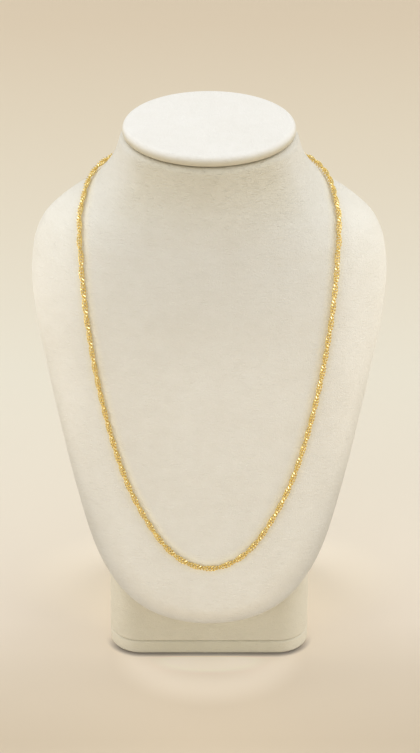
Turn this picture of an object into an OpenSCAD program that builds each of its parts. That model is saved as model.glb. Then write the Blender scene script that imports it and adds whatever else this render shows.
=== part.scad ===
// Singapore chain necklace on a plain neck bust, in millimetres.
// Z is up, the chest faces -Y, and the origin is the middle of the base plate's underside.

/* [Bust form] */
// Width over the shoulders
shoulder_w = 189; // [165:1:215]
// Height of the chest's lower edge above the table
chest_bottom = 33; // [26:1:42]
// Height of the widest part of the shoulders above the table
shoulder_z = 218; // [200:1:235]
// Height of the neck's top above the table
neck_top = 293; // [280:1:320]
// Depth of the chest ahead of its rim at the shoulders
chest_depth = 52; // [44:1:60]
// How far the rim of the chest's lower edge stands ahead of the neck's middle
chest_lean = 66; // [56:1:74]
// Depth of the form behind its rim at the shoulders
shoulder_back = 26; // [18:1:34]
// Width of the neck at its top
neck_w = 93; // [84:1:110]
// Depth of the neck at its top
neck_d = 84; // [74:1:96]
// How far the neck's middle stands behind the middle of the base plate
neck_set_back = 3.5; // [-6:0.5:12]
// Radius of the neck's rounded top edge
neck_edge_r = 2; // [1:0.5:4]

/* [Neck cap] */
// How far the cap's edge stays inside the neck's outline
cap_inset = 0.9; // [0.5:0.1:3]
// Thickness of the cap at its edge
cap_t = 6.6; // [4:0.2:10]
// Rise of the cap's crowned top above its edge
cap_crown = 0.6; // [0.2:0.1:2]

/* [Stand] */
// Width of the base plate and of the block on it
base_w = 109; // [90:1:130]
// Depth of the base plate and of the block on it
base_d = 100; // [90:1:120]
// Radius of the upright corners of the plate and the block
base_corner_r = 17; // [8:1:25]
// Thickness of the base plate
plate_t = 8.7; // [5:0.1:12]
// Height of the block's top edge, behind the chest
block_top = 128; // [90:1:150]
// Depth of the block's flat top
block_top_d = 26; // [14:1:36]
// Height of the block's upright back wall
block_heel_h = 26; // [15:1:45]

/* [Chain] */
// Outer width of the twisted chain
chain_w = 3.5; // [2:0.1:5]

/* [Clasp] */
// Radius of the clasp's ring, to the middle of its wire
clasp_ring_r = 2.6; // [2:0.1:4]
// Thickness of the clasp ring's wire
clasp_wire_d = 0.95; // [0.7:0.05:1.3]
// Radius of the small eyes at the clasp's ends, to the middle of their wire
clasp_eye_r = 1.15; // [0.9:0.05:1.6]
// Thickness of the eyes' wire
clasp_eye_wire_d = 0.6; // [0.4:0.05:0.8]

/* [Fits] */
// Gap at the seams between pieces
seam_gap = 0.3; // [0.2:0.05:0.6]
// Gap between the chain and the form, which takes up the straight runs between the chain's rings
lie_gap = 0.45; // [0.35:0.05:1]

/* [Hidden] */

// Sections of the chest, from its lower edge to the widest part of the shoulders. Height is a share of that
// span, half width of half shoulder_w, front of chest_depth, lean of chest_lean and back of shoulder_back.
// Roundness is the power of the section's curve ahead of the rim and behind it, where 2 is an ellipse.
// height, half width, front, lean, back, front roundness, back roundness
CHEST = [
    [0.000, 0.030, 0.080, 1.000, 0.17, 2.00, 2.0],
    [0.007, 0.170, 0.160, 0.985, 0.29, 2.10, 2.3],
    [0.025, 0.305, 0.250, 0.965, 0.38, 2.20, 2.6],
    [0.062, 0.433, 0.345, 0.925, 0.48, 2.30, 3.0],
    [0.120, 0.543, 0.430, 0.865, 0.50, 2.35, 3.5],
    [0.212, 0.646, 0.525, 0.775, 0.48, 2.40, 4.0],
    [0.390, 0.758, 0.640, 0.620, 0.45, 2.40, 4.0],
    [0.578, 0.850, 0.750, 0.470, 0.47, 2.35, 3.6],
    [0.768, 0.931, 0.855, 0.320, 0.62, 2.30, 3.2],
    [0.903, 0.982, 0.925, 0.210, 0.85, 2.20, 2.8],
    [1.000, 1.000, 0.990, 0.120, 1.00, 2.10, 2.6]
];
// Sections from the shoulders to the neck's top. Height is a share of that span, and lean of chest_lean.
// Half width, front and back run from the neck's own size at 0 to the shoulders' at 1.
// height, half width, front, lean, back, front roundness, back roundness
NECK = [
    [0.187, 0.972, 1.040, 0.060, 0.62, 2.05, 2.4],
    [0.347, 0.875, 0.990, 0.020, 0.36, 2.00, 2.3],
    [0.480, 0.660, 0.860, 0.000, 0.18, 2.00, 2.2],
    [0.600, 0.385, 0.640, 0.000, 0.07, 2.00, 2.1],
    [0.720, 0.195, 0.370, 0.000, 0.02, 2.00, 2.0],
    [0.853, 0.066, 0.150, 0.000, 0.00, 2.00, 2.0],
    [1.000, 0.000, 0.000, 0.000, 0.00, 2.00, 2.0]
];
// Steps of the form's skin between two sections, and points round it
SKIN_STEPS = 3;
SKIN_POINTS = 60;

// The chain's way over the form, from the middle of the front to beside the nape. Angle goes round the
// form, 0 at the front, 90 at the side and 180 at the back. Height is a share from the chest's lower edge
// to the neck's top.
CHAIN_ROUTE = [
    [0, 0.156], [7.3, 0.167], [13.7, 0.189], [19.6, 0.224], [25.2, 0.273], [29.6, 0.325], [32.6, 0.376],
    [34.7, 0.427], [36.2, 0.478], [37.4, 0.529], [38.4, 0.578], [39.3, 0.628], [40.6, 0.676], [42.1, 0.723],
    [44.3, 0.768], [47.9, 0.808], [56.2, 0.844], [71.3, 0.873], [90, 0.893], [110, 0.904], [130, 0.904],
    [148, 0.897], [165, 0.890]
];
NAPE_SHARE = 0.887;
// Steps of the route between two of its points, then the tube's rings from front to nape and its sides
ROUTE_STEPS = 6;
CHAIN_RINGS = 39;
CHAIN_SIDES = 8;

cap_edge_r = cap_t / 2;
cap_z = neck_top + seam_gap + cap_edge_r;
clasp_eye_x = clasp_ring_r + clasp_wire_d / 2 + clasp_eye_r;
clasp_reach = clasp_eye_x + clasp_eye_r + clasp_eye_wire_d / 2;
chain_lift = chain_w / 2 + lie_gap;

function mix(a, b, share) = a + (b - a) * share;
function unit(v) = v / norm(v);
function power(v, e) = sign(v) * pow(abs(v), e);

// The sections in millimetres: height, half width, front, rim, back, front roundness, back roundness
ROWS = concat(
    [for (r = CHEST) [
        mix(chest_bottom, shoulder_z, r[0]), shoulder_w / 2 * r[1], chest_depth * r[2],
        neck_set_back - chest_lean * r[3], shoulder_back * r[4], r[5], r[6]
    ]],
    [for (r = NECK) [
        mix(shoulder_z, neck_top, r[0]), mix(neck_w, shoulder_w, r[1]) / 2,
        mix(neck_d / 2, chest_depth, r[2]), neck_set_back - chest_lean * r[3],
        mix(neck_d / 2, shoulder_back, r[4]), r[5], r[6]
    ]]
);
LAST_ROW = len(ROWS) - 1;

// Smooth curve through one column of the sections, which never swings past them
function slope(i, k) = (ROWS[i + 1][k] - ROWS[i][k]) / (ROWS[i + 1][0] - ROWS[i][0]);
function tangent(i, k) =
    i == 0 ? slope(0, k)
    : i == LAST_ROW ? slope(i - 1, k)
    : slope(i - 1, k) * slope(i, k) <= 0 ? 0
    : let (before = ROWS[i][0] - ROWS[i - 1][0], after = ROWS[i + 1][0] - ROWS[i][0])
      3 * (before + after) / ((before + 2 * after) / slope(i - 1, k) + (2 * before + after) / slope(i, k));
TANGENTS = [for (i = [0 : LAST_ROW]) [for (k = [0 : 6]) tangent(i, k)]];
function row_below(z, i = 0) = i == LAST_ROW - 1 || z < ROWS[i + 1][0] ? i : row_below(z, i + 1);
function section(z) =
    let (i = row_below(z), h = ROWS[i + 1][0] - ROWS[i][0], t = (z - ROWS[i][0]) / h, u = 1 - t)
    (1 + 2 * t) * u * u * ROWS[i] + t * u * u * h * TANGENTS[i]
    + t * t * (3 - 2 * t) * ROWS[i + 1] - t * t * u * h * TANGENTS[i + 1];

// Point of a section at an angle round it, with the section drawn in by an inset
function section_point(s, a, inset = 0) =
    cos(a) > 0
    ? [(s[1] - inset) * power(sin(a), 2 / s[5]), s[3] - (s[2] - inset) * pow(cos(a), 2 / s[5])]
    : [(s[1] - inset) * power(sin(a), 2 / s[6]), s[3] + (s[4] - inset) * pow(-cos(a), 2 / s[6])];
function skin(a, z) = let (p = section_point(section(z), a)) [p[0], p[1], z];
function skin_normal(a, z) =
    unit(cross(skin(a + 1, z) - skin(a - 1, z), skin(a, z + 0.5) - skin(a, z - 0.5)));
function ring(s, z, inset = 0) = [
    for (i = [0 : SKIN_POINTS - 1])
        let (p = section_point(s, 360 * i / SKIN_POINTS, inset)) [p[0], p[1], z]
];

// Heights of the skin's rings, up to where the neck's edge begins to round
RING_Z = concat(
    [for (i = [0 : LAST_ROW - 2]) for (j = [0 : SKIN_STEPS - 1])
        mix(ROWS[i][0], ROWS[i + 1][0], j / SKIN_STEPS)],
    [for (j = [0 : SKIN_STEPS]) mix(ROWS[LAST_ROW - 1][0], neck_top - neck_edge_r, j / SKIN_STEPS)]
);
BACK_ANGLE = 180;

// Closed skin over rings of equally many points, listed from the lowest up
module skin_over(rings) {
    n = len(rings[0]);
    top = (len(rings) - 1) * n;
    polyhedron(
        points = [for (r = rings) each r],
        faces = concat(
            [[for (i = [0 : n - 1]) i]],
            [for (k = [0 : len(rings) - 2]) for (i = [0 : n - 1])
                [k * n + i, (k + 1) * n + i, (k + 1) * n + (i + 1) % n, k * n + (i + 1) % n]],
            [[for (i = [n - 1 : -1 : 0]) top + i]]
        ),
        convexity = 6
    );
}

// The form of neck, shoulders and chest
module bust_form() {
    top = section(neck_top);
    color([0.88, 0.85, 0.78])
    skin_over(concat(
        [for (z = RING_Z) ring(section(z), z)],
        [for (b = [30 : 30 : 90])
            ring(top, neck_top - neck_edge_r * (1 - sin(b)), neck_edge_r * (1 - cos(b)))]
    ));
}

// Oval cap, with a round edge and a slightly crowned top
module neck_cap() {
    neck = section(neck_top);
    middle = min(neck_w, neck_d) / 2;
    color([0.95, 0.93, 0.89])
    skin_over(concat(
        [for (b = [-90 : 22.5 : 90])
            ring(neck, cap_z + cap_edge_r * sin(b), cap_inset + cap_edge_r * (1 - cos(b)))],
        [for (share = [0.35, 0.65, 0.9])
            ring(neck, cap_z + cap_edge_r + cap_crown * (1 - pow(1 - share, 2)),
                cap_inset + cap_edge_r + share * (middle - cap_inset - cap_edge_r))]
    ));
}

// Outline of the plate and the block, seen from above
module base_outline() {
    square([base_w - 2 * base_corner_r, base_d], center = true);
    square([base_w, base_d - 2 * base_corner_r], center = true);
    for (x = [-1, 1]) for (y = [-1, 1])
        translate([x * (base_w / 2 - base_corner_r), y * (base_d / 2 - base_corner_r)])
            circle(r = base_corner_r, $fn = 64);
}

module base_plate() {
    color([0.83, 0.81, 0.73]) linear_extrude(plate_t) base_outline();
}

// Block that carries the chest: upright in front, then cut along the chest's back, with a sloping back wall
module stand_block() {
    foot = plate_t + seam_gap;
    front = -base_d / 2;
    heights = [for (z = RING_Z) if (z < block_top) z];
    behind = [for (z = concat(heights, [block_top])) [skin(BACK_ANGLE, z)[1] + seam_gap, z]];
    upright_top = max([for (p = behind) if (p[0] <= front) p[1]]);
    rest = [for (p = behind) if (p[0] > front) p];
    top_back = rest[len(rest) - 1][0] + block_top_d;
    color([0.82, 0.78, 0.68])
    intersection() {
        translate([0, 0, foot]) linear_extrude(block_top) base_outline();
        rotate([90, 0, 90]) translate([0, 0, -base_w / 2]) linear_extrude(base_w)
            polygon(concat(
                [[front, foot], [front, upright_top]],
                rest,
                [[top_back, block_top], [base_d / 2, foot + block_heel_h], [base_d / 2, foot]]
            ));
    }
}

// The angle where the chain meets the clasp's eye, at a distance x from the nape's middle
nape_z = mix(chest_bottom, neck_top, NAPE_SHARE);
function angle_at(x, s) = 180 - asin(pow(x / s[1], s[6] / 2));
ROUTE = concat(
    [for (r = CHAIN_ROUTE) [r[0], mix(chest_bottom, neck_top, r[1])]],
    [[angle_at(clasp_reach + seam_gap, section(nape_z)), nape_z]]
);
LAST_POINT = len(ROUTE) - 1;

// Smooth way through the route's points, mirrored past both ends
function route_point(i) =
    i < 0 ? [-ROUTE[-i][0], ROUTE[-i][1]]
    : i > LAST_POINT ? [360 - ROUTE[2 * LAST_POINT - i][0], ROUTE[2 * LAST_POINT - i][1]]
    : ROUTE[i];
function route_at(i, t) =
    let (a = route_point(i - 1), b = route_point(i), c = route_point(i + 1), d = route_point(i + 2))
    0.5 * (2 * b + (c - a) * t + (2 * a - 5 * b + 4 * c - d) * t * t + (3 * b - a - 3 * c + d) * t * t * t);
function chain_centre(p) = skin(p[0], p[1]) + chain_lift * skin_normal(p[0], p[1]);

WAY = concat(
    [for (i = [0 : LAST_POINT - 1]) for (j = [0 : ROUTE_STEPS - 1]) route_at(i, j / ROUTE_STEPS)],
    [ROUTE[LAST_POINT]]
);
WAY_CENTRES = [for (p = WAY) chain_centre(p)];
WAY_LENGTHS = [for (i = 0, sum = 0; i < len(WAY); i = i + 1,
    sum = i < len(WAY) ? sum + norm(WAY_CENTRES[i] - WAY_CENTRES[i - 1]) : sum) sum];
half_length = WAY_LENGTHS[len(WAY) - 1];
ANGLES = [for (i = [0 : len(WAY) - 1]) [WAY_LENGTHS[i], WAY[i][0]]];
HEIGHTS = [for (i = [0 : len(WAY) - 1]) [WAY_LENGTHS[i], WAY[i][1]]];

// Place on the form at an equal step of the chain's length, from the nape on one side to that on the other
function chain_place(j) =
    let (s = half_length * abs(j) / CHAIN_RINGS, side = j < 0 ? -1 : 1)
    [side * lookup(s, ANGLES), lookup(s, HEIGHTS)];

// The chain's outer form: one tube over the whole way
module chain() {
    places = [for (j = [-CHAIN_RINGS : CHAIN_RINGS]) chain_place(j)];
    centres = [for (p = places) chain_centre(p)];
    last = len(places) - 1;
    color([0.90, 0.72, 0.32])
    skin_over([for (i = [0 : last])
        let (
            along = unit(centres[min(i + 1, last)] - centres[max(i - 1, 0)]),
            across = unit(cross(along, skin_normal(places[i][0], places[i][1]))),
            out = cross(across, along)
        )
        [for (j = [0 : CHAIN_SIDES - 1])
            let (b = 360 * (j + 0.5) / CHAIN_SIDES)
            centres[i] + chain_w / 2 * (cos(b) * out + sin(b) * across)]
    ]);
}

module wire_ring(r, wire_d) {
    rotate_extrude($fn = 64) translate([r, 0]) circle(d = wire_d, $fn = 32);
}

// Plain ring clasp with an eye at each end, flat against the nape
module clasp() {
    n = skin_normal(BACK_ANGLE, nape_z);
    color([0.90, 0.72, 0.32])
    translate(chain_centre([BACK_ANGLE, nape_z])) rotate([-atan2(n[1], n[2]), 0, 0]) {
        wire_ring(clasp_ring_r, clasp_wire_d);
        for (x = [-1, 1]) translate([x * clasp_eye_x, 0, 0]) wire_ring(clasp_eye_r, clasp_eye_wire_d);
    }
}

base_plate();
stand_block();
bust_form();
neck_cap();
chain();
clasp();
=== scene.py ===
"""A twisted singapore chain in yellow gold, lying on its leatherette neck bust."""

import math

import bmesh
import bpy
import numpy as np
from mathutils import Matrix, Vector


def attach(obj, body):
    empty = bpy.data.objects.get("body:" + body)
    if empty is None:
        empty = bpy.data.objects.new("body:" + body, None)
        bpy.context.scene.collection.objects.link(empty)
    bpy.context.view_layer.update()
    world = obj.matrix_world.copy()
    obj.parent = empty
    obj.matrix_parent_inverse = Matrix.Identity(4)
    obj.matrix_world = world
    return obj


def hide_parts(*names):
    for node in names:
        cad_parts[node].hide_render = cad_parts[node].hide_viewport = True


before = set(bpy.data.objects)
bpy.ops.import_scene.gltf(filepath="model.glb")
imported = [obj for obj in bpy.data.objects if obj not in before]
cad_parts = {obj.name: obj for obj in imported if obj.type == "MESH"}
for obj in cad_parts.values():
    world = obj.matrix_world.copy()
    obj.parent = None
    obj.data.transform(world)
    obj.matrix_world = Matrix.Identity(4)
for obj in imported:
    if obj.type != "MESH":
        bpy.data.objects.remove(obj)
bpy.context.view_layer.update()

BODY = "root"
MM = 0.001

# Sizes in millimetres, as in the part's source

# Form of neck, shoulders and chest
SHOULDER_W = 189
CHEST_BOTTOM = 33
SHOULDER_Z = 218
NECK_TOP = 293
CHEST_DEPTH = 52
CHEST_LEAN = 66
SHOULDER_BACK = 26
NECK_W = 93
NECK_D = 84
NECK_SET_BACK = 3.5
NECK_LIP_R = 2.8

# Cap on the neck
CAP_INSET = 0.9
CAP_T = 6.6
CAP_CROWN = 0.6
SEAM_GAP = 0.3

# Stand
BASE_W = 109
BASE_D = 100
BASE_CORNER_R = 17
PLATE_T = 8.7
BLOCK_TOP = 128
BLOCK_TOP_D = 26
BLOCK_HEEL_H = 26

# Clasp
CLASP_RING_R = 2.6
CLASP_WIRE_D = 0.95
CLASP_EYE_R = 1.15
CLASP_EYE_WIRE_D = 0.6

# Sections of the chest and of the neck, as shares: height, half width, front, lean, back, and how round the
# section is ahead of its rim and behind it
CHEST = [
    [0.000, 0.030, 0.080, 1.000, 0.17, 2.00, 2.0],
    [0.007, 0.170, 0.160, 0.985, 0.29, 2.10, 2.3],
    [0.025, 0.305, 0.250, 0.965, 0.38, 2.20, 2.6],
    [0.062, 0.433, 0.345, 0.925, 0.48, 2.30, 3.0],
    [0.120, 0.543, 0.430, 0.865, 0.50, 2.35, 3.5],
    [0.212, 0.646, 0.525, 0.775, 0.48, 2.40, 4.0],
    [0.390, 0.758, 0.640, 0.620, 0.45, 2.40, 4.0],
    [0.578, 0.850, 0.750, 0.470, 0.47, 2.35, 3.6],
    [0.768, 0.931, 0.855, 0.320, 0.62, 2.30, 3.2],
    [0.903, 0.982, 0.925, 0.210, 0.85, 2.20, 2.8],
    [1.000, 1.000, 0.990, 0.120, 1.00, 2.10, 2.6],
]
NECK = [
    [0.187, 0.972, 1.040, 0.060, 0.62, 2.05, 2.4],
    [0.347, 0.875, 0.990, 0.020, 0.36, 2.00, 2.3],
    [0.480, 0.660, 0.860, 0.000, 0.18, 2.00, 2.2],
    [0.600, 0.385, 0.640, 0.000, 0.07, 2.00, 2.1],
    [0.720, 0.195, 0.370, 0.000, 0.02, 2.00, 2.0],
    [0.853, 0.066, 0.150, 0.000, 0.00, 2.00, 2.0],
    [1.000, 0.000, 0.000, 0.000, 0.00, 2.00, 2.0],
]

# The chain's way over the form, from the middle of the front to beside the nape: angle round the form and
# share of its height
CHAIN_ROUTE = [
    [0, 0.156], [7.3, 0.167], [13.7, 0.189], [19.6, 0.224], [25.2, 0.273], [29.6, 0.325], [32.6, 0.376],
    [34.7, 0.427], [36.2, 0.478], [37.4, 0.529], [38.4, 0.578], [39.3, 0.628], [40.6, 0.676], [42.1, 0.723],
    [44.3, 0.768], [47.9, 0.808], [56.2, 0.844], [71.3, 0.873], [90, 0.893], [110, 0.904], [130, 0.904],
    [148, 0.897], [165, 0.890],
]
NAPE_SHARE = 0.887


# The form's surface

def mix(a, b, share):
    return a + (b - a) * share


# Columns of ROWS. The front's and the back's reach are taken from the rim, where a section is widest.
HEIGHT, HALF_W, FRONT, RIM, BACK, ROUND_FRONT, ROUND_BACK = range(7)
ROWS = np.array(
    [
        [mix(CHEST_BOTTOM, SHOULDER_Z, h), SHOULDER_W / 2 * w, CHEST_DEPTH * front,
         NECK_SET_BACK - CHEST_LEAN * lean, SHOULDER_BACK * back, round_front, round_back]
        for h, w, front, lean, back, round_front, round_back in CHEST
    ]
    + [
        [mix(SHOULDER_Z, NECK_TOP, h), mix(NECK_W, SHOULDER_W, w) / 2, mix(NECK_D / 2, CHEST_DEPTH, front),
         NECK_SET_BACK - CHEST_LEAN * lean, mix(NECK_D / 2, SHOULDER_BACK, back), round_front, round_back]
        for h, w, front, lean, back, round_front, round_back in NECK
    ]
)


def row_tangents():
    """Slopes at the sections that let a smooth curve pass through them and never swing past them."""
    steps = np.diff(ROWS, axis=0)
    slopes = steps / steps[:, :1]
    tangents = np.zeros_like(ROWS)
    tangents[0], tangents[-1] = slopes[0], slopes[-1]
    for i in range(1, len(ROWS) - 1):
        before, after = steps[i - 1, HEIGHT], steps[i, HEIGHT]
        turning = slopes[i - 1] * slopes[i] <= 0
        below, above = np.where(turning, 1, slopes[i - 1]), np.where(turning, 1, slopes[i])
        between = 3 * (before + after) / ((before + 2 * after) / below + (2 * before + after) / above)
        tangents[i] = np.where(turning, 0, between)
    return tangents


TANGENTS = row_tangents()


def section(z):
    """The form's section at each height."""
    z = np.asarray(z, float)
    i = np.clip(np.searchsorted(ROWS[:, HEIGHT], z, side="right") - 1, 0, len(ROWS) - 2)
    h = (ROWS[i + 1, HEIGHT] - ROWS[i, HEIGHT])[..., None]
    t = (z - ROWS[i, HEIGHT])[..., None] / h
    u = 1 - t
    return (
        (1 + 2 * t) * u * u * ROWS[i] + t * u * u * h * TANGENTS[i]
        + t * t * (3 - 2 * t) * ROWS[i + 1] - t * t * u * h * TANGENTS[i + 1]
    )


def section_point(s, angle, inset=0.0):
    """Across and back places on sections, at angles round them from the front, drawn in by an inset."""
    sin, cos = np.sin(np.radians(angle)), np.cos(np.radians(angle))
    power = 2 / np.where(cos > 0, s[..., ROUND_FRONT], s[..., ROUND_BACK])
    reach = np.where(cos > 0, inset - s[..., FRONT], s[..., BACK] - inset)
    return np.stack([
        (s[..., HALF_W] - inset) * np.sign(sin) * np.abs(sin) ** power,
        s[..., RIM] + reach * np.abs(cos) ** power,
    ], -1)


def skin(angle, z):
    return np.concatenate([section_point(section(z), angle), np.asarray(z, float)[..., None]], -1)


def unit(v):
    return v / np.linalg.norm(v, axis=-1, keepdims=True)


def skin_normal(angle, z):
    round_it = skin(angle + 1, z) - skin(angle - 1, z)
    up_it = skin(angle, z + 0.5) - skin(angle, z - 0.5)
    return unit(np.cross(round_it, up_it))


# Finishes

class Value:
    """A node's output in a finish. Sums on it are written as on numbers, and node() adds any other node."""

    def __init__(self, tree, socket=None):
        self.tree, self.socket = tree, socket

    def node(self, kind, settings=None, sockets=None, output=0):
        """The output of a new node of that type, with its settings made first, then its sockets."""
        made = self.tree.nodes.new(kind)
        for name, setting in (settings or {}).items():
            if name == "stops":
                ramp = made.color_ramp.elements
                while len(ramp) < len(setting):
                    ramp.new(1)
                for stop, (place, colour) in zip(ramp, setting):
                    stop.position, stop.color = place, colour
            else:
                setattr(made, name, setting)
        for name, given in (sockets or {}).items():
            if isinstance(given, Value):
                self.tree.links.new(given.socket, made.inputs[name])
            else:
                made.inputs[name].default_value = given
        return Value(self.tree, made.outputs[output]) if made.outputs else None

    def maths(self, operation, *terms):
        return self.node("ShaderNodeMath", {"operation": operation}, dict(enumerate(terms)))

    def __add__(self, other):
        return self.maths("ADD", self, other)

    __radd__ = __add__

    def __sub__(self, other):
        return self.maths("SUBTRACT", self, other)

    def __rsub__(self, other):
        return self.maths("SUBTRACT", other, self)

    def __mul__(self, other):
        return self.maths("MULTIPLY", self, other)

    __rmul__ = __mul__

    def __pow__(self, other):
        return self.maths("POWER", self, other)

    def __abs__(self):
        return self.maths("ABSOLUTE", self)

    def above(self, least):
        return self.maths("MAXIMUM", self, least)

    def between(self, low, high):
        """Runs from 0 at low to 1 at high, smoothly."""
        return self.node(
            "ShaderNodeMapRange", {"interpolation_type": "SMOOTHSTEP"},
            {0: self, 1: low, 2: high, 3: 0.0, 4: 1.0})

    def colour(self, first, second, blend="MIX"):
        """The first colour where this is 0, and where it is 1 the second, or what the blend makes of both."""
        return self.node(
            "ShaderNodeMix", {"data_type": "RGBA", "blend_type": blend}, {0: self, 6: first, 7: second}, 2)

    def tinted(self, colour, tint):
        """The colour, multiplied by the tint where this is 1."""
        return self.colour(colour, tint, "MULTIPLY")

    def noise(self, scale, detail=2.0, roughness=0.5, output=0):
        """Cloudy variation over these coordinates, from 0 to 1."""
        return self.node("ShaderNodeTexNoise", {}, {
            "Vector": self, "Scale": scale, "Detail": detail, "Roughness": roughness}, output)

    def stretched(self, x, y, z):
        return self.node("ShaderNodeVectorMath", {"operation": "MULTIPLY"}, {0: self, 1: (x, y, z)})

    def moved(self, by, share):
        """These coordinates, moved by a share of other ones."""
        return self.node("ShaderNodeVectorMath", {"operation": "MULTIPLY_ADD"}, {
            0: by, 1: (share, share, share), 2: self})

    def part(self, axis):
        return self.node("ShaderNodeSeparateXYZ", {}, {0: self}, axis)


def new_finish(name):
    """A material with an empty tree. Returns the material, and the coordinates of the object's own frame."""
    material = bpy.data.materials.new(name)
    material.use_nodes = True
    material.node_tree.nodes.clear()
    return material, Value(material.node_tree).node("ShaderNodeTexCoord", {}, {}, "Object")


def close_finish(material, place, height, bump, sockets):
    """Puts the surface on a material: its bump, of a strength and depth, from a height, and its sockets."""
    strength, depth = bump
    normal = place.node("ShaderNodeBump", {}, {"Strength": strength, "Distance": depth, "Height": height})
    shader = place.node("ShaderNodeBsdfPrincipled", {}, {**sockets, "Normal": normal})
    place.node("ShaderNodeOutputMaterial", {}, {"Surface": shader})
    return material


# How far the leatherette's grain wanders, and how deep it is
GRAIN_SWAY = 0.0022
GRAIN_DEPTH = 0.00022


def leatherette(name, light, deep, tints=()):
    """Smooth coated cloth with pebbled grain, fine creases that run level, and slight unevenness of tone.
    Each tint is a mask, the colour that the cloth is multiplied by where the mask is 1, and how much deeper
    its creases are there."""
    material, place = new_finish(name)
    bent = place.moved(place.noise(300.0, output="Color"), GRAIN_SWAY)
    pebble = place.node("ShaderNodeTexVoronoi", {"feature": "DISTANCE_TO_EDGE"}, {
        "Vector": bent.stretched(0.8, 0.8, 1.25), "Scale": 900.0}).between(0.0, 0.35)
    creases = bent.stretched(0.5, 0.5, 1.8).noise(420.0)
    creases = 1 - abs(creases * 2 - 1) * 3
    fine = place.noise(2600.0)
    cloud = place.noise(24.0, 3.0)
    blotch = place.noise(130.0)
    tone = cloud.between(0.3, 0.7) * 0.45 + blotch.between(0.3, 0.7) * 0.25 + pebble * 0.3
    colour = tone.colour(deep, light)
    crease_depth = 0.5
    for where, tint, grain in tints:
        mask = where(place)
        colour = mask.tinted(colour, tint)
        crease_depth = crease_depth + mask * grain
    height = pebble * 0.35 + creases * crease_depth + fine * 0.2
    return close_finish(material, place, height, (1.0, GRAIN_DEPTH), {
        "Base Color": colour,
        "Roughness": 0.50 + 0.12 * fine + 0.05 * cloud,
        "Specular IOR Level": 0.32,
    })


def yellow_gold(name, light, deep, roughness, scratch, bump):
    """Polished yellow gold, with rubbed-in variation and the lines of its polishing or cutting."""
    material, place = new_finish(name)
    worn = place.noise(900.0, 4.0, 0.6)
    lines = place.stretched(1.0, 1.0, 9.0).noise(scratch)
    return close_finish(material, place, lines * 0.7 + worn * 0.3, bump, {
        "Base Color": worn.between(0.3, 0.7).colour(deep, light),
        "Metallic": 1.0,
        "Roughness": roughness + 0.06 * worn.between(0.35, 0.8),
    })


# Masks of the tints, which paint shade or light on the coverings. Their limits are in metres, and in square
# metres where they are on the square of the distance from the middle plane.

def across_squared(place):
    across = place.part(0)
    return across * across


def neck_front_shade(place):
    """1 on the front of the neck below the cap, fading out towards its sides and the chest: there the
    covering is painted darker, a painted shade.
    """
    return (place.part(2).between(0.246, 0.292) * place.part(1).between(-0.012, -0.032)
            * across_squared(place).between(0.0038, 0.0012))


def upper_chest_shade(place):
    """1 on the middle of the chest's upper half, where it meets the neck: there the covering is painted
    darker, a painted shade.
    """
    return place.part(2).between(0.165, 0.24) * across_squared(place).between(0.0060, 0.0012)


def shoulders(place):
    """1 on the outer sides of the chest from its middle up, which are painted lighter, a painted light where
    the lamps fall on them.
    """
    return place.part(2).between(0.09, 0.17) * across_squared(place).between(0.0030, 0.0065)


def cap_side_shade(place):
    """1 on the cap's side, and 0 from its top edge up: the side is painted darker, a painted shade."""
    return place.part(2).between(0.2995, 0.2958)


def stand_corners_light(place):
    """1 on the stand's round corners at both sides, which are painted lighter, a painted highlight."""
    return across_squared(place).between(0.0014, 0.0027)


def plate_front(place):
    """1 on the middle of the plate's front edge, which the chest shades."""
    return place.part(2).between(0.0091, 0.0083) * across_squared(place).between(0.0020, 0.0006)


def marked(name):
    """The number that a piece keeps at its points under that name, as a mask."""
    return lambda place: place.node("ShaderNodeAttribute", {"attribute_name": name}, {}, "Fac")


BUST_LEATHERETTE = leatherette("bust_leatherette", (0.858, 0.829, 0.740, 1), (0.800, 0.763, 0.664, 1), [
    # painted shade on the neck's front
    (neck_front_shade, (0.915, 0.885, 0.795, 1), 0.6),
    # painted shade on the upper chest
    (upper_chest_shade, (0.90, 0.895, 0.885, 1), 0.0),
    # painted light on the shoulders
    (shoulders, (1.05, 1.05, 1.05, 1), 0.0),
    # painted shade on the rim turned under
    (marked("turned_under"), (0.80, 0.80, 0.80, 1), 0.0),
    # painted shade on the chest's sides
    (marked("turned_back"), (0.85, 0.845, 0.83, 1), 0.0),
    (marked("gold_light_inside"), (1.13, 1.10, 1.0, 1), 0.0),
    (marked("gold_light_outside"), (1.04, 1.0, 0.87, 1), 0.0),
])
CAP_LEATHERETTE = leatherette("cap_leatherette", (0.93, 0.91, 0.855, 1), (0.89, 0.865, 0.795, 1), [
    # painted shade on the cap's side
    (cap_side_shade, (0.69, 0.64, 0.51, 1), 0.0),
])
# The stand wears the bust's covering painted darker, a painted shade.
SHADED_STAND_LEATHERETTE = leatherette("stand_leatherette", (0.66, 0.61, 0.475, 1), (0.61, 0.56, 0.425, 1), [
    # painted light on the stand's round corners
    (stand_corners_light, (1.15, 1.16, 1.2, 1), 0.0),
    (plate_front, (0.94, 0.94, 0.92, 1), 0.0),
])
POLISHED_GOLD = yellow_gold(
    "polished_gold", (0.97, 0.80, 0.36, 1), (0.88, 0.67, 0.23, 1), 0.14, 2600.0, (0.25, 0.00004))
CUT_GOLD = yellow_gold(
    "cut_gold", (1.0, 0.89, 0.50, 1), (0.97, 0.83, 0.42, 1), 0.08, 5200.0, (0.12, 0.00002))


# Meshes

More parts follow.
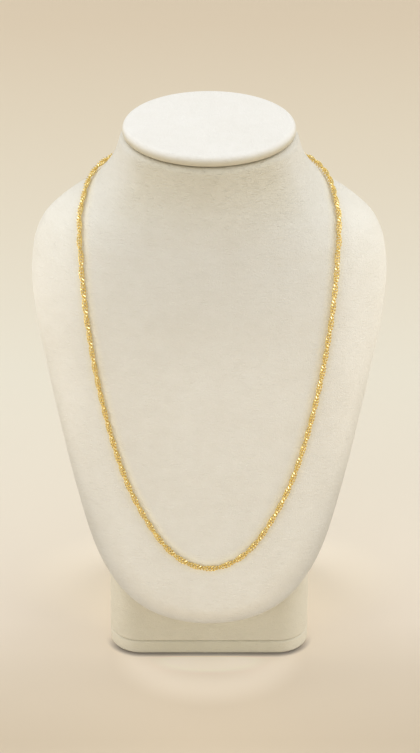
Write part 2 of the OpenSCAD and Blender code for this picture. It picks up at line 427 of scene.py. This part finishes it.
def piece(name, points, faces, finishes, stands_for, finish_of=None):
    """A mesh in millimetres made into a piece of the object. It wears the finishes and stands for a node of
    the model. finish_of gives each face's finish by its number, and the faces of any but the first are flat."""
    mesh = bpy.data.meshes.new(name)
    mesh.from_pydata(np.asarray(points, float) * MM, [], faces)
    mesh.polygons.foreach_set("use_smooth", np.ones(len(mesh.polygons), bool))
    if finish_of is not None:
        mesh.polygons.foreach_set("material_index", np.asarray(finish_of, np.int32))
        mesh.polygons.foreach_set("use_smooth", np.asarray(finish_of) == 0)
    for finish in finishes:
        mesh.materials.append(finish)
    mesh.validate()
    mesh.update()
    made = bpy.data.objects.new(name, mesh)
    bpy.context.scene.collection.objects.link(made)
    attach(made, BODY)
    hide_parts(stands_for)
    return made


def mark(made, name, values):
    """Keeps a number at each point of a piece, for its finish to read by that name."""
    kept = made.data.attributes.new(name, "FLOAT", "POINT")
    kept.data.foreach_set("value", np.asarray(values, np.float32))


def lofted(rings, close_ends=True):
    """Points and faces of a closed skin over rings of equally many points, from the lowest up."""
    rings = np.asarray(rings)
    count, around = rings.shape[:2]
    faces = [
        (k * around + i, k * around + (i + 1) % around,
         (k + 1) * around + (i + 1) % around, (k + 1) * around + i)
        for k in range(count - 1) for i in range(around)
    ]
    if close_ends:
        faces.append(tuple(range(around - 1, -1, -1)))
        faces.append(tuple((count - 1) * around + i for i in range(around)))
    return rings.reshape(-1, 3), faces


# Points on half a ring of the form, and the finer angles that they are spaced from
HALF_POINTS = 160
ANGLES = np.linspace(0, 180, 1441)

# Distances from the back's middle of the points beside the seam, the first of them its outer edge, and the
# depths of the last of them. A ring whose half is shorter than SEAM_FULL_WAY has a narrower seam.
SEAM_PLACES = [3.0, 1.6, 1.0, 0.6, 0.3, 0.0]
SEAM_DEPTHS = [0.0, -0.06, 0.05, 0.45]
SEAM_FULL_WAY = 30


def even_ring(s, z, inset=0.0, groove=0.0):
    """Ring of a section at a height, its points evenly spaced, with a shallow seam down the back's middle."""
    across, back = section_point(np.broadcast_to(s, (len(ANGLES), len(s))), ANGLES, inset).T
    way = np.concatenate([[0], np.cumsum(np.hypot(np.diff(across), np.diff(back)))])
    seam = np.array(SEAM_PLACES) * min(1, way[-1] / SEAM_FULL_WAY)
    before_seam = np.linspace(0, way[-1] - seam[0], HALF_POINTS - len(seam) + 1)
    stops = np.concatenate([before_seam, way[-1] - seam[1:]])
    x, y = np.interp(stops, way, across), np.interp(stops, way, back)
    y[-len(SEAM_DEPTHS):] -= np.array(SEAM_DEPTHS) * groove
    x, y = np.concatenate([x, -x[-2:0:-1]]), np.concatenate([y, y[-2:0:-1]])
    return np.stack([x, y, np.full(len(x), z)], -1)


# The way that the chest faces. The rim's flat band and the lip below it are told by the surface's turn from
# there, in degrees where the band begins, the lip begins and the lip ends. The band is pulled in and the lip
# stands out, and both fade out between two heights.
CHEST_FACING = [0, -0.96, 0.28]
RIM_TURN = [23, 57, 92]
RIM_PULL = 0.75
LIP_PUSH = 0.4
RIM_FADE = [70, 150]

# The surface's turn where the chest's side begins to fall into shade, and where it is fully in it, and how
# much of that shade there is at each height
SIDE_TURN = [46, 72]
SIDE_HEIGHTS = [[50, 80, 110, 150, 205], [0, 0.7, 1, 1, 0]]


def turned_rim(rings):
    """The rings with the chest's lower rim turned under more flatly, where the covering is pulled round it,
    how far each point is into that turn, and how far it is turned back at the chest's side, from 0 to 1. The
    two shares mark where painted shade darkens the rim and the chest's sides."""
    rings = np.array(rings)
    round_it = np.roll(rings, -1, 1) - np.roll(rings, 1, 1)
    normal = unit(np.cross(round_it, np.gradient(rings, axis=0)))
    facing = np.degrees(np.arccos(np.clip(normal @ unit(np.array(CHEST_FACING)), -1, 1)))
    way = np.interp(facing, RIM_TURN, [0, 1, 2])
    fade = np.clip((RIM_FADE[1] - rings[..., 2]) / (RIM_FADE[1] - RIM_FADE[0]), 0, 1)
    fade = fade * fade * (3 - 2 * fade)
    pull = np.where(way < 1, RIM_PULL, LIP_PUSH) * np.sin(np.pi * way) * fade
    turned_back = np.interp(facing, SIDE_TURN, [0, 1]) * np.interp(rings[..., 2], *SIDE_HEIGHTS)
    return rings - pull[..., None] * normal, np.clip(way, 0, 1) * fade, turned_back


# Rings of the form up to the neck's lip and how much they crowd to its lower end, the heights between which
# the back's seam comes in, how much of it is left on the lip, and the border of the neck's end inside the lip
FORM_RINGS = 200
FORM_CROWDING = 1.6
BACK_SEAM_FADE = [60, 80]
LIP_SEAM = 0.4
NECK_END_BORDER = 6


def make_bust():
    """The covered form of neck, shoulders and chest."""
    shares = np.linspace(0, 1, FORM_RINGS) ** FORM_CROWDING
    heights = mix(CHEST_BOTTOM, NECK_TOP - NECK_LIP_R, shares)
    rings, under, back = turned_rim(
        [even_ring(section(z), z, 0, np.interp(z, BACK_SEAM_FADE, [0, 1])) for z in heights])
    rings = list(rings)
    for turn in np.radians(np.linspace(11, 90, 8)):
        z = NECK_TOP - NECK_LIP_R * (1 - math.sin(turn))
        rings.append(even_ring(section(z), z, NECK_LIP_R * (1 - math.cos(turn)), LIP_SEAM))
    rings.append(even_ring(section(NECK_TOP), NECK_TOP, NECK_LIP_R + NECK_END_BORDER))
    points, faces = lofted(rings)
    made = piece("bust_form_covered", points, faces, [BUST_LEATHERETTE], "bust_form")
    lip = np.zeros(len(points) - under.size)
    inside, outside = near_chain(points)
    # Where painted shade darkens the rim and the chest's sides, and where the light that the gold throws is
    # painted round the chain
    mark(made, "turned_under", np.concatenate([under.ravel(), lip]))
    mark(made, "turned_back", np.concatenate([back.ravel(), lip]))
    mark(made, "gold_light_inside", inside)
    mark(made, "gold_light_outside", outside)
    return made


# Radius of the cap's lower edge, and how far in from its round upper edge the rings of its top are, as shares
CAP_UNDER_R = 3.0
CAP_TOP_SHARES = [0.04, 0.1, 0.2, 0.35, 0.5, 0.65, 0.8, 0.9, 0.97]


def make_cap():
    """The covered cap on the neck, with a round edge and a slightly crowned top."""
    neck = section(NECK_TOP)
    edge_r = CAP_T - CAP_UNDER_R
    middle_z = NECK_TOP + SEAM_GAP + CAP_UNDER_R
    reach = min(NECK_W, NECK_D) / 2 - CAP_INSET - edge_r
    rings = [
        even_ring(neck, middle_z + r * math.sin(b), CAP_INSET + r * (1 - math.cos(b)))
        for r, turns in ((CAP_UNDER_R, np.linspace(-90, -9, 10)), (edge_r, np.linspace(0, 90, 11)))
        for b in np.radians(turns)
    ] + [
        even_ring(neck, middle_z + edge_r + CAP_CROWN * (1 - (1 - share) ** 2),
                  CAP_INSET + edge_r + share * reach)
        for share in CAP_TOP_SHARES
    ]
    points, faces = lofted(rings)
    return piece("neck_cap_covered", points, faces, [CAP_LEATHERETTE], "neck_cap")


# Points on the stand's outline: from the front's or the rear's middle to its corner, on a corner, and on a
# side from corner to corner
FLAT_POINTS = 12
CORNER_POINTS = 13
SIDE_POINTS = 45


def base_outline(inset=0.0):
    """Points of the stand's outline seen from above, drawn in by an inset. They start at the front's middle
    and go round through the right side, and the left side mirrors the right."""
    half_w, half_d, r = BASE_W / 2 - inset, BASE_D / 2 - inset, BASE_CORNER_R - inset
    turn = np.radians(np.linspace(0, 90, CORNER_POINTS))
    flat = np.linspace(0, 1, FLAT_POINTS + 1)[:-1]
    side = np.linspace(0, 1, SIDE_POINTS)[1:-1]
    x = np.concatenate([flat * (half_w - r), half_w - r + r * np.sin(turn), np.full(len(side), half_w),
                        half_w - r + r * np.cos(turn), (1 - flat[1:]) * (half_w - r), [0]])
    y = np.concatenate([np.full(len(flat), -half_d), -half_d + r - r * np.cos(turn),
                        mix(-half_d + r, half_d - r, side), half_d - r + r * np.sin(turn),
                        np.full(len(flat), half_d)])
    return np.concatenate([x, -x[-2:0:-1]]), np.concatenate([y, y[-2:0:-1]])


# Radii of the covered edges
PLATE_LOWER_R = 2.0
PLATE_UPPER_R = 1.5
BLOCK_LOWER_R = 0.35
BLOCK_UPPER_R = 2.4


def lower_edge(foot, r, steps):
    """Rings of the stand's outline round a lower edge of that radius."""
    rings = []
    for b in np.radians(np.linspace(0, 90, steps)):
        x, y = base_outline(r * (1 - math.sin(b)))
        rings.append(np.stack([x, y, np.full(len(x), foot + r * (1 - math.cos(b)))], -1))
    return rings


def make_plate():
    """The covered base plate, with a soft lower edge."""
    rings = lower_edge(0, PLATE_LOWER_R, 9)
    for b in np.radians(np.linspace(0, 90, 7)):
        x, y = base_outline(PLATE_UPPER_R * (1 - math.cos(b)))
        rings.append(np.stack([x, y, np.full(len(x), PLATE_T - PLATE_UPPER_R * (1 - math.sin(b)))], -1))
    points, faces = lofted(rings)
    return piece(
        "base_plate_covered", points, faces, [SHADED_STAND_LEATHERETTE], "base_plate")


def block_height(y):
    """Height of the block at a distance back: up along the chest's back, level, then down the slope."""
    z = np.linspace(CHEST_BOTTOM, BLOCK_TOP, 400)
    behind = skin(np.full(len(z), 180.0), z)[:, 1] + SEAM_GAP
    keep = np.concatenate([[True], np.diff(np.maximum.accumulate(behind)) > 0])
    back_edge = behind[-1] + BLOCK_TOP_D
    ys = np.concatenate([behind[keep], [back_edge, BASE_D / 2]])
    zs = np.concatenate([z[keep], [BLOCK_TOP, PLATE_T + SEAM_GAP + BLOCK_HEEL_H]])
    return np.interp(y, ys, zs)


def make_block():
    """The covered block, cut along the chest's back, with rounded edges. Its top is closed by strips from the
    right side of the outline to the left."""
    foot = PLATE_T + SEAM_GAP
    rings = lower_edge(foot, BLOCK_LOWER_R, 5)
    x, y = base_outline()
    tops = block_height(y) - BLOCK_UPPER_R
    for share in (0.15, 0.4, 0.7):
        rings.append(np.stack([x, y, mix(foot + BLOCK_LOWER_R, tops, share)], -1))
    for b in np.radians(np.linspace(0, 90, 7)):
        x, y = base_outline(BLOCK_UPPER_R * (1 - math.cos(b)))
        rings.append(np.stack([x, y, block_height(y) - BLOCK_UPPER_R * (1 - math.sin(b))], -1))
    points, faces = lofted(rings)
    faces.pop()
    around = len(x)
    start = (len(rings) - 1) * around
    half = around // 2
    level = FLAT_POINTS
    front = [start + i % around for i in range(-level, level + 1)]
    faces.append(tuple([*front, start + level + 1, start + around - level - 1]))
    for i in range(level + 1, half - level - 1):
        faces.append((start + i, start + i + 1, start + around - i - 1, start + around - i))
    rear = [start + half + i for i in range(-level, level + 1)]
    faces.append(tuple([start + half - level - 1, *rear, start + half + level + 1]))
    return piece(
        "stand_block_covered", points, faces, [SHADED_STAND_LEATHERETTE], "stand_block")


# Chain

CLASP_EYE_X = CLASP_RING_R + CLASP_WIRE_D / 2 + CLASP_EYE_R
CLASP_REACH = CLASP_EYE_X + CLASP_EYE_R + CLASP_EYE_WIRE_D / 2
NAPE_Z = mix(CHEST_BOTTOM, NECK_TOP, NAPE_SHARE)

# How far the links' middle is off the form, and how much wider the loop lies than the source's route
CHAIN_LIFT = 1.55
CHAIN_SPREAD = 1.006

# Steps between two places of the chain's way, many so that the links are evenly spaced along it
ROUTE_STEPS = 60


def chain_centre(angle, z):
    return (skin(angle, z) + CHAIN_LIFT * skin_normal(angle, z)) * [CHAIN_SPREAD, 1, 1]


def chain_way():
    """Angles and heights of the chain's way from the front's middle to the clasp, and the length to each."""
    nape = section(np.array(NAPE_Z))
    across = ((CLASP_REACH + SEAM_GAP) / nape[HALF_W]) ** (nape[ROUND_BACK] / 2)
    last_angle = 180 - math.degrees(math.asin(across))
    route = [[a, mix(CHEST_BOTTOM, NECK_TOP, h)] for a, h in CHAIN_ROUTE] + [[last_angle, NAPE_Z]]
    before, after = [-route[1][0], route[1][1]], [360 - route[-2][0], route[-2][1]]
    r = np.array([before, *route, after])
    way = []
    for i in range(1, len(r) - 2):
        a, b, c, d = r[i - 1:i + 3]
        for t in np.arange(ROUTE_STEPS) / ROUTE_STEPS:
            way.append(0.5 * (2 * b + (c - a) * t + (2 * a - 5 * b + 4 * c - d) * t ** 2
                              + (3 * b - a - 3 * c + d) * t ** 3))
    way = np.array([*way, route[-1]])
    centres = chain_centre(way[:, 0], way[:, 1])
    lengths = np.concatenate([[0], np.cumsum(np.linalg.norm(np.diff(centres, axis=0), axis=1))])
    return way[:, 0], way[:, 1], lengths


WAY_ANGLES, WAY_HEIGHTS, WAY_LENGTHS = chain_way()

# Half the distance over which the chain's direction is taken
ALONG_REACH = 0.7


def chain_frames(places):
    """Centres on the chain's way and the directions along it, across it and out from the form. Places are
    lengths from the front's middle, below 0 on the left."""
    def at(s):
        angle = np.sign(s) * np.interp(np.abs(s), WAY_LENGTHS, WAY_ANGLES)
        return angle, np.interp(np.abs(s), WAY_LENGTHS, WAY_HEIGHTS)
    centres = chain_centre(*at(places))
    along = unit(chain_centre(*at(places + ALONG_REACH)) - chain_centre(*at(places - ALONG_REACH)))
    across = unit(np.cross(skin_normal(*at(places)), along))
    return centres, along, across, np.cross(along, across)


# Distances from the chain's middle, and how full the light that the gold throws on the covering is at each,
# inside the chain's loop and outside it, and the number of places on half the way that throw it
INSIDE_REACH = [[1.8, 2.8, 4.0, 6.0], [1, 0.85, 0.35, 0]]
OUTSIDE_REACH = [[2.0, 3.5, 6.0], [1, 0.4, 0]]
LIGHT_PLACES = 400


def near_chain(points):
    """How much of the light that the gold throws is at each point, inside the chain's loop and outside it."""
    centres, along, across, _ = chain_frames(np.linspace(0, WAY_LENGTHS[-1], LIGHT_PLACES))
    on_right = np.array(points)
    on_right[:, 0] = np.abs(on_right[:, 0])
    away, inward = np.full(len(points), np.inf), np.zeros(len(points))
    for centre, ahead, side in zip(centres, along, across):
        reach = on_right - centre
        reach -= np.clip(reach @ ahead, -0.5, 0.5)[:, None] * ahead
        distance = np.linalg.norm(reach, axis=1)
        inward = np.where(distance < away, reach @ side, inward)
        away = np.minimum(away, distance)
    inside = np.interp(inward, [-1, 1], [0, 1])
    return inside * np.interp(away, *INSIDE_REACH), (1 - inside) * np.interp(away, *OUTSIDE_REACH)


# A link: an oval ring of wire. Its half length and half width go to the wire's middle. The ring is bent to a
# saddle, so that each link passes through its neighbours clear of their wire. The wire is wider at the
# link's sides, and is cut flat all round the chain. The cuts are at these turns from the link's own plane
# and these distances from the chain's middle.
LINK_HALF_L = 1.07
LINK_HALF_W = 1.25
LINK_WARP = -0.7
WIRE_HALF_W = 0.285
WIRE_SPREAD = 0.06
WIRE_HALF_T = 0.295
LINK_STEPS = 32
WIRE_SIDES = 10
CUTS = [[0, 1.47], [38, 1.36]]

# How many links there are, and how far the middle of the last is from the way's end
LINK_COUNT = 450
END_GAP = 1.28

# Half turns of the twist, counted from the left end, at the chain's ends and at these places along its way
TURN_PLACES = [-200, 0, 200]
HALF_TURNS = [0, 13.25, 36.78, 59.40, 74]

CHAIN_PIECES = ["links_nape_left", "links_front_left", "links_front_right", "links_nape_right"]


def link_template():
    """Points, faces and each face's finish of one link that lies along X with its faces up and down."""
    t = np.linspace(0, 2 * math.pi, LINK_STEPS, endpoint=False)

    def centre(t):
        x, y = LINK_HALF_L * np.cos(t), LINK_HALF_W * np.sin(t)
        return np.stack([x, y, LINK_WARP * x * y], -1)
    middle = centre(t)
    ahead = unit(centre(t + 0.01) - centre(t - 0.01))
    side = unit(np.cross(ahead, [0, 0, 1]))
    up = np.cross(side, ahead)
    wide = WIRE_HALF_W + WIRE_SPREAD * np.sin(t) ** 2
    turns = np.linspace(0, 2 * math.pi, WIRE_SIDES, endpoint=False) + math.pi / WIRE_SIDES
    bm = bmesh.new()
    rings = [
        [bm.verts.new(middle[i] + wide[i] * math.cos(b) * side[i] + WIRE_HALF_T * math.sin(b) * up[i])
         for b in turns]
        for i in range(LINK_STEPS)
    ]
    for i in range(LINK_STEPS):
        for j in range(WIRE_SIDES):
            ring, following, beside = rings[i], rings[(i + 1) % LINK_STEPS], (j + 1) % WIRE_SIDES
            bm.faces.new([ring[j], ring[beside], following[beside], following[j]])
    bm.normal_update()
    for turn, away in CUTS:
        level, rise = math.cos(math.radians(turn)), math.sin(math.radians(turn))
        sides = (1, -1) if turn else (1,)
        for normal in [(0, y * level, z * rise) for y in (1, -1) for z in sides]:
            normal = Vector(normal)
            cut = bmesh.ops.bisect_plane(
                bm, geom=[*bm.verts, *bm.edges, *bm.faces], plane_co=away * normal, plane_no=normal,
                clear_outer=True)
            border = [e for e in cut["geom_cut"] if isinstance(e, bmesh.types.BMEdge)]
            for made in bmesh.ops.contextual_create(bm, geom=border)["faces"]:
                made.material_index = 1
    bmesh.ops.recalc_face_normals(bm, faces=bm.faces)
    bm.verts.index_update()
    points = np.array([v.co for v in bm.verts])
    faces = [tuple(v.index for v in f.verts) for f in bm.faces]
    finishes = [f.material_index for f in bm.faces]
    bm.free()
    return points, faces, finishes


def make_chain():
    """All the links on the chain's way, in pieces of about equally many links."""
    points, faces, finishes = link_template()
    half = WAY_LENGTHS[-1] - END_GAP
    places = np.linspace(-half, half, LINK_COUNT)
    centres, along, across, out = chain_frames(places)
    turn = math.pi * np.interp(places, [-half, *TURN_PLACES, half], HALF_TURNS)
    cos, sin = np.cos(turn)[:, None], np.sin(turn)[:, None]
    frames = np.stack([along, cos * across + sin * out, cos * out - sin * across], 1)
    spots = centres[:, None] + points[None] @ frames
    shift = len(points)
    for name, numbers in zip(CHAIN_PIECES, np.array_split(np.arange(LINK_COUNT), len(CHAIN_PIECES))):
        link_faces = [tuple(v + k * shift for v in f) for k in range(len(numbers)) for f in faces]
        piece(name, spots[numbers].reshape(-1, 3), link_faces, [POLISHED_GOLD, CUT_GOLD], "chain",
              finish_of=finishes * len(numbers))


def wire_ring(r, wire_r, centre, first, second, steps=40, sides=14, span=360):
    """Points and faces of a ring of round wire in the plane of two directions, or of an arc of it with its
    ends closed."""
    third = np.cross(first, second)
    closed = span == 360
    turns = np.radians(np.linspace(0, span, steps, endpoint=not closed))
    rings = []
    for a in turns:
        outward = math.cos(a) * first + math.sin(a) * second
        rings.append([centre + (r + wire_r * math.cos(b)) * outward + wire_r * math.sin(b) * third
                      for b in np.linspace(0, 2 * math.pi, sides, endpoint=False)])
    points, faces = lofted(rings, close_ends=not closed)
    if closed:
        last = (steps - 1) * sides
        faces += [(last + i, last + (i + 1) % sides, (i + 1) % sides, i) for i in range(sides)]
    return points, faces


def joined(parts):
    """Points and faces of several meshes as one."""
    points, faces = [], []
    for p, f in parts:
        shift = sum(len(q) for q in points)
        points.append(p)
        faces += [tuple(v + shift for v in face) for face in f]
    return np.concatenate(points), faces


# How much of its ring the clasp's tube covers, in degrees, and the share of the tube's thickness that the
# tongue has, which closes the ring. The jump rings' radius, their wire's radius and their place from the
# clasp's middle.
CLASP_TUBE_SPAN = 290
CLASP_TONGUE = 0.62
JUMP_RING_R = 1.15
JUMP_RING_WIRE_R = 0.24
JUMP_RING_X = 5.75


def make_clasp():
    """Spring ring with an eye at each side, flat against the nape, and a jump ring at each eye."""
    angle, height = np.array(180.0), np.array(NAPE_Z)
    centre, out = chain_centre(angle, height), skin_normal(angle, height)
    across = np.array([1.0, 0, 0])
    up = np.cross(out, across)
    tube_r = CLASP_WIRE_D / 2
    parts = [
        wire_ring(CLASP_RING_R, tube_r, centre, across, up, span=CLASP_TUBE_SPAN, steps=44),
        wire_ring(CLASP_RING_R, tube_r * CLASP_TONGUE, centre, across, up),
    ]
    for side in (-across, across):
        parts.append(wire_ring(CLASP_EYE_R, CLASP_EYE_WIRE_D / 2, centre + CLASP_EYE_X * side, across, up))
        parts.append(wire_ring(JUMP_RING_R, JUMP_RING_WIRE_R, centre + JUMP_RING_X * side, across, out))
    points, faces = joined(parts)
    return piece("spring_ring_clasp", points, faces, [POLISHED_GOLD], "clasp")


# Floor, lights and camera, in metres

# The floor's tone from FLOOR_AHEAD before the stand's middle to 1 m behind that place, painted lighter round
# the stand and darker ahead of it and far behind: painted light and shade
FLOOR_AHEAD = 0.2
FLOOR_STOPS = [
    (0.07, (0.675, 0.562, 0.412, 1)), (0.116, (0.765, 0.650, 0.496, 1)), (0.152, (0.85, 0.737, 0.587, 1)),
    (0.18, (0.875, 0.768, 0.630, 1)), (0.25, (0.82, 0.733, 0.605, 1)), (0.46, (0.795, 0.742, 0.610, 1)),
    (0.80, (0.752, 0.658, 0.500, 1)), (1.0, (0.722, 0.602, 0.438, 1)),
]

# Places on the floor painted paler, a painted light where the bust's shadow falls: how far back the middle
# is, how much the distances across and back from it count, the squares of the distance where the place fades
# out and where it is full, and the colour that the floor is multiplied by
FLOOR_LIGHT_PATCHES = [
    (0.025, 1.0, 1.8, 0.0135, 0.0055, (1.06, 1.06, 1.05, 1)),
    (-0.055, 1.35, 1.6, 0.0056, 0.0010, (1.24, 1.28, 1.36, 1)),
    (-0.057, 1.0, 2.6, 0.0011, 0.0001, (1.165, 1.20, 1.235, 1)),
]

# The floor's shade close round the plate, where little light comes under its edge: how far it reaches, in
# millimetres, where it comes in along the plate's sides, and its colour
CONTACT_REACH = 3.6
CONTACT_FADE = (-0.030, -0.048)
CONTACT_SHADE = (0.40, 0.40, 0.42, 1)

FLOOR_HALF = 30.0


def make_floor():
    """A plain pale floor with painted light and shade: brightest round the stand, a little deeper in tone far
    behind, and a painted shadow close round the plate.
    """
    material, place = new_finish("pale_floor")
    across, back = place.part(0), place.part(1)
    along = back + FLOOR_AHEAD
    tone = along.node("ShaderNodeValToRGB", {"stops": FLOOR_STOPS}, {"Fac": along})
    for middle, wide, deep, outer, inner, tint in FLOOR_LIGHT_PATCHES:
        # painted light where the bust's shadow falls on the floor
        near = ((across * wide) ** 2 + ((back - middle) * deep) ** 2).between(outer, inner)
        tone = near.tinted(tone, tint)
    corner = BASE_CORNER_R * MM
    past_sides = (abs(across) - (BASE_W / 2 * MM - corner)).above(0)
    past_front = (abs(back) - (BASE_D / 2 * MM - corner)).above(0)
    outer = (corner + CONTACT_REACH * MM) ** 2
    close_by = (past_sides ** 2 + past_front ** 2).between(outer, corner ** 2) * back.between(*CONTACT_FADE)
    close_finish(material, place, place.noise(900.0), (0.05, 0.0001), {
        "Base Color": close_by.tinted(tone, CONTACT_SHADE),
        "Roughness": 0.6 + 0.1 * place.noise(40.0),
    })
    mesh = bpy.data.meshes.new("floor")
    corners = [(x * FLOOR_HALF, y * FLOOR_HALF, 0) for x, y in ((-1, -1), (1, -1), (1, 1), (-1, 1))]
    mesh.from_pydata(corners, [], [(0, 1, 2, 3)])
    mesh.materials.append(material)
    floor = bpy.data.objects.new("floor", mesh)
    bpy.context.scene.collection.objects.link(floor)


# Softboxes: name, place, width and height, and power in watts. All are aimed at one place on the chest.
SOFTBOX_AIM = (0, 0, 0.16)
SOFTBOXES = [
    ("low_front_softbox", (0, -1.3, 0.3), (2.2, 0.7), 2.8),
    ("high_front_softbox", (0, -0.8, 2.1), (2.2, 1.4), 3.4),
    ("left_rear_softbox", (-1.4, 0.7, 0.9), (2.0, 1.6), 7.5),
    ("right_rear_softbox", (1.4, 0.7, 0.9), (2.0, 1.6), 5.5),
    ("left_top_softbox", (-1.0, 0.4, 1.7), (1.3, 1.3), 9.5),
    ("right_top_softbox", (1.0, 0.4, 1.7), (1.3, 1.3), 8.8),
    ("right_side_softbox", (1.4, -0.3, 0.9), (1.2, 1.2), 1.5),
    ("left_low_softbox", (-1.0, -1.2, 0.35), (1.2, 0.6), 5.4),
    ("right_low_softbox", (1.2, -0.5, 0.3), (1.1, 0.5), 3.2),
]
STUDIO_STRENGTH = 0.40


def make_lights():
    for name, at, size, power in SOFTBOXES:
        light = bpy.data.lights.new(name, "AREA")
        light.shape, light.size, light.size_y = "RECTANGLE", *size
        light.energy = power
        placed = bpy.data.objects.new(name, light)
        placed.location = at
        placed.rotation_mode = "QUATERNION"
        placed.rotation_quaternion = (Vector(SOFTBOX_AIM) - Vector(at)).to_track_quat("-Z", "Y")
        bpy.context.scene.collection.objects.link(placed)
    world = bpy.data.worlds.new("studio")
    world.use_nodes = True
    background = world.node_tree.nodes["Background"].inputs
    background["Color"].default_value = (1.0, 1.0, 1.0, 1)
    background["Strength"].default_value = STUDIO_STRENGTH
    bpy.context.scene.world = world
    bpy.context.scene.view_settings.view_transform = "Standard"


# The camera's lens and its shift right and up, both in pixels of a picture FRAME_H high
CAMERA_TARGET = Vector((0, 0, 0.150))
CAMERA_TILT = math.radians(30)
CAMERA_DISTANCE = 1.85
FRAME_H = 753
LENS_PIXELS = 3400.7
SHIFT_PIXELS = (0.85, -2.5)
SENSOR = 36


def make_camera():
    """The photograph's view: from the front, 30 degrees above the level."""
    data = bpy.data.cameras.new("camera")
    data.sensor_width = SENSOR
    data.lens = LENS_PIXELS * SENSOR / FRAME_H
    data.shift_x, data.shift_y = (shift / FRAME_H for shift in SHIFT_PIXELS)
    data.clip_start, data.clip_end = 0.05, 50
    camera = bpy.data.objects.new("camera", data)
    back = Vector((0, -math.cos(CAMERA_TILT), math.sin(CAMERA_TILT)))
    camera.location = CAMERA_TARGET + CAMERA_DISTANCE * back
    camera.rotation_euler = (math.pi / 2 - CAMERA_TILT, 0, 0)
    bpy.context.scene.collection.objects.link(camera)
    bpy.context.scene.camera = camera


make_camera()
make_bust()
make_cap()
make_block()
make_plate()
make_chain()
make_clasp()
make_floor()
make_lights()
